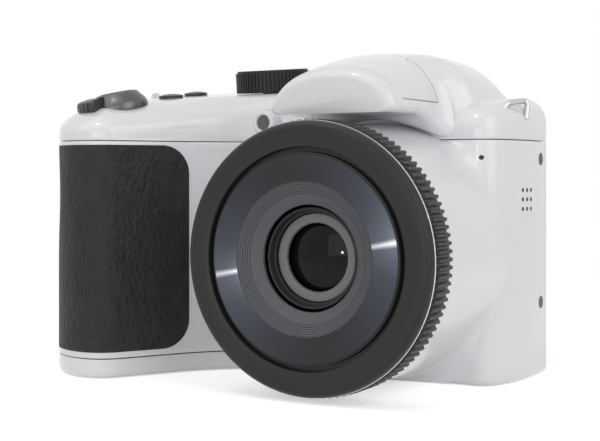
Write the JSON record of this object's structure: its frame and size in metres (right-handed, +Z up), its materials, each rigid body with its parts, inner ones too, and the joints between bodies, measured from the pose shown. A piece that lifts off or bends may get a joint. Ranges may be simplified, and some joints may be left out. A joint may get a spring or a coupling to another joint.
{
  "type": "bridge camera",
  "caption": "Bridge camera with a deep rubber hand grip, large telescoping zoom lens with a ribbed ring, pop-up flash hump, mode dial, back display and tripod socket.",
  "frame": {"origin": "centre of the bounding box in plan, at the height of the flat base", "axes": "+X to the lens side of the case, -Y the way the lens looks, +Z up"},
  "size_m": [0.1186, 0.078, 0.084],
  "materials": {
    "white_gloss": "glossy moulded white plastic",
    "white_back": "glossy moulded white plastic",
    "grip_rubber": "matt black rubber with a leather grain",
    "black_gloss": "satin black plastic",
    "black_matte": "matt black plastic",
    "trim_silver": "bright trim",
    "spun_metal": "dark spun aluminium",
    "baffle_grey": "matt grey ridged plastic",
    "lens_glass": "coated optical glass",
    "clear_window": "clear moulded window",
    "flash_white": "reflector housing",
    "display_dark": "dark glossy display window",
    "button_grey": "satin silver-grey plastic",
    "control_dark": "satin dark grey plastic",
    "dial_black": "black plastic dial with ridges",
    "steel": "plain steel",
    "screw_black": "blackened steel",
    "brass": "turned brass",
    "spring_contact": "plated spring strip",
    "cell_wrap": "plain cell jacket",
    "circuit_board": "green circuit board",
    "sensor_glass": "sensor package"
  },
  "bodies": {
    "case": {"front_cover": "white_gloss", "top_cover": "white_gloss", "back_cover": "white_back", "grip_rubber": "grip_rubber", "door_hinge_pin": "steel", "battery_contacts": "spring_contact", "battery_chamber": "black_matte", "battery_cells": "cell_wrap", "card_socket": "black_matte", "usb_socket": "steel", "tripod_bush": "brass", "case_screws": "screw_black", "strap_lugs": "steel", "lens_front_ring": "black_gloss", "lens_trim_ring": "trim_silver", "ribbed_ring": "black_matte", "lens_tube": "black_matte", "zoom_motor": "steel", "guide_rods": "steel", "lens_base": "black_matte", "image_sensor": "sensor_glass", "sensor_board": "circuit_board", "main_board": "circuit_board", "flash_capacitor": "cell_wrap", "flash_hinge_pin": "steel", "focus_lamp": "clear_window", "microphone": "black_matte", "speaker": "black_matte", "switch_board": "circuit_board", "button_board": "circuit_board", "display_panel": "display_dark"},
    "outer_lens": {"outer_barrel": "spun_metal", "baffle_ring": "baffle_grey"},
    "inner_lens": {"inner_barrel": "black_matte", "element_bezel": "black_matte", "front_element": "lens_glass", "shutter_unit": "black_matte"},
    "cam": {"cam_ring": "black_matte"},
    "pinion": {"drive_pinion": "brass"},
    "focus": {"focus_carriage": "black_matte", "focus_lens": "lens_glass"},
    "flash": {"flash_lid": "white_gloss", "flash_head": "flash_white", "flash_window": "clear_window"},
    "door": {"battery_door": "white_gloss", "door_contacts": "spring_contact"},
    "latch": {"battery_latch": "black_matte"},
    "flap": {"port_flap": "white_gloss"},
    "dial": {"mode_dial": "dial_black"},
    "lever": {"zoom_lever": "control_dark"},
    "shutter": {"shutter_button": "control_dark"},
    "power": {"power_button": "control_dark"},
    "burst": {"burst_button": "control_dark"},
    "record": {"record_button": "button_grey"},
    "menu": {"menu_button": "button_grey"},
    "display": {"display_button": "button_grey"},
    "play": {"play_button": "button_grey"},
    "delete": {"delete_button": "button_grey"},
    "pad": {"four_way_pad": "button_grey"},
    "ok": {"ok_button": "button_grey"}
  },
  "joints": [
    {"name": "outer_zoom", "type": "slide", "parent": "case", "child": "outer_lens", "axis": [0, -1, 0], "range_m": [0, 0.022]},
    {"name": "inner_zoom", "type": "slide", "parent": "outer_lens", "child": "inner_lens", "axis": [0, -1, 0], "range_m": [0, 0.016]},
    {"name": "cam_turn", "type": "hinge", "parent": "case", "child": "cam", "pos_m": [0.02475, 0.008, 0.033], "axis": [0, -1, 0], "range_deg": [0, 50]},
    {"name": "pinion_spin", "type": "hinge", "parent": "case", "child": "pinion", "pos_m": [-0.0057, 0.007, 0.0188], "axis": [0, -1, 0], "range_deg": [-371, 0]},
    {"name": "focus_travel", "type": "slide", "parent": "case", "child": "focus", "axis": [0, -1, 0], "range_m": [0, 0.0035]},
    {"name": "flash_popup", "type": "hinge", "parent": "case", "child": "flash", "pos_m": [0.02475, -0.0015, 0.0814], "axis": [-1, 0, 0], "range_deg": [0, 45]},
    {"name": "battery_door_swing", "type": "hinge", "parent": "case", "child": "door", "pos_m": [-0.0125, 0, 0.0015], "axis": [0, -1, 0], "range_deg": [0, 95]},
    {"name": "battery_latch_slide", "type": "slide", "parent": "door", "child": "latch", "axis": [0, 1, 0], "range_m": [0, 0.0025]},
    {"name": "port_flap_swing", "type": "hinge", "parent": "case", "child": "flap", "pos_m": [-0.05875, 0.0116, 0.034], "axis": [0, 0, 1], "range_deg": [0, 110]},
    {"name": "mode_dial_turn", "type": "hinge", "parent": "case", "child": "dial", "pos_m": [-0.0155, 0.0155, 0.07555], "axis": [0, -0.0993, 0.9951], "continuous": true},
    {"name": "zoom_lever_turn", "type": "hinge", "parent": "case", "child": "lever", "pos_m": [-0.0415, -0.022, 0.0718], "axis": [0, -0.0993, 0.9951], "range_deg": [-20, 20], "stiffness_Nm_per_rad": 0.03},
    {"name": "shutter_press", "type": "slide", "parent": "case", "child": "shutter", "axis": [0, 0.0993, -0.9951], "range_m": [0, 0.0008], "stiffness_N_per_m": 500},
    {"name": "power_press", "type": "slide", "parent": "case", "child": "power", "axis": [0, 0.0993, -0.9951], "range_m": [0, 0.0005], "stiffness_N_per_m": 500},
    {"name": "burst_press", "type": "slide", "parent": "case", "child": "burst", "axis": [0, 0.0993, -0.9951], "range_m": [0, 0.0005], "stiffness_N_per_m": 500},
    {"name": "record_press", "type": "slide", "parent": "case", "child": "record", "axis": [0, -1, 0], "range_m": [0, 0.0004], "stiffness_N_per_m": 500},
    {"name": "menu_press", "type": "slide", "parent": "case", "child": "menu", "axis": [0, -1, 0], "range_m": [0, 0.0004], "stiffness_N_per_m": 500},
    {"name": "display_press", "type": "slide", "parent": "case", "child": "display", "axis": [0, -1, 0], "range_m": [0, 0.0004], "stiffness_N_per_m": 500},
    {"name": "play_press", "type": "slide", "parent": "case", "child": "play", "axis": [0, -1, 0], "range_m": [0, 0.0004], "stiffness_N_per_m": 500},
    {"name": "delete_press", "type": "slide", "parent": "case", "child": "delete", "axis": [0, -1, 0], "range_m": [0, 0.0004], "stiffness_N_per_m": 500},
    {"name": "ok_press", "type": "slide", "parent": "case", "child": "ok", "axis": [0, -1, 0], "range_m": [0, 0.0004], "stiffness_N_per_m": 500},
    {"name": "pad_rock", "type": "hinge", "parent": "case", "child": "pad", "pos_m": [-0.04, 0.0345, 0.027], "axis": [1, 0, 0], "range_deg": [-2.5, 2.5], "stiffness_Nm_per_rad": 0.4}
  ],
  "couplings": [
    {"joint": "inner_zoom", "follows": "outer_zoom", "ratio": 0.7272},
    {"joint": "cam_turn", "follows": "outer_zoom", "rad_per_m": 39.659},
    {"joint": "pinion_spin", "follows": "outer_zoom", "rad_per_m": -293.48}
  ]
}
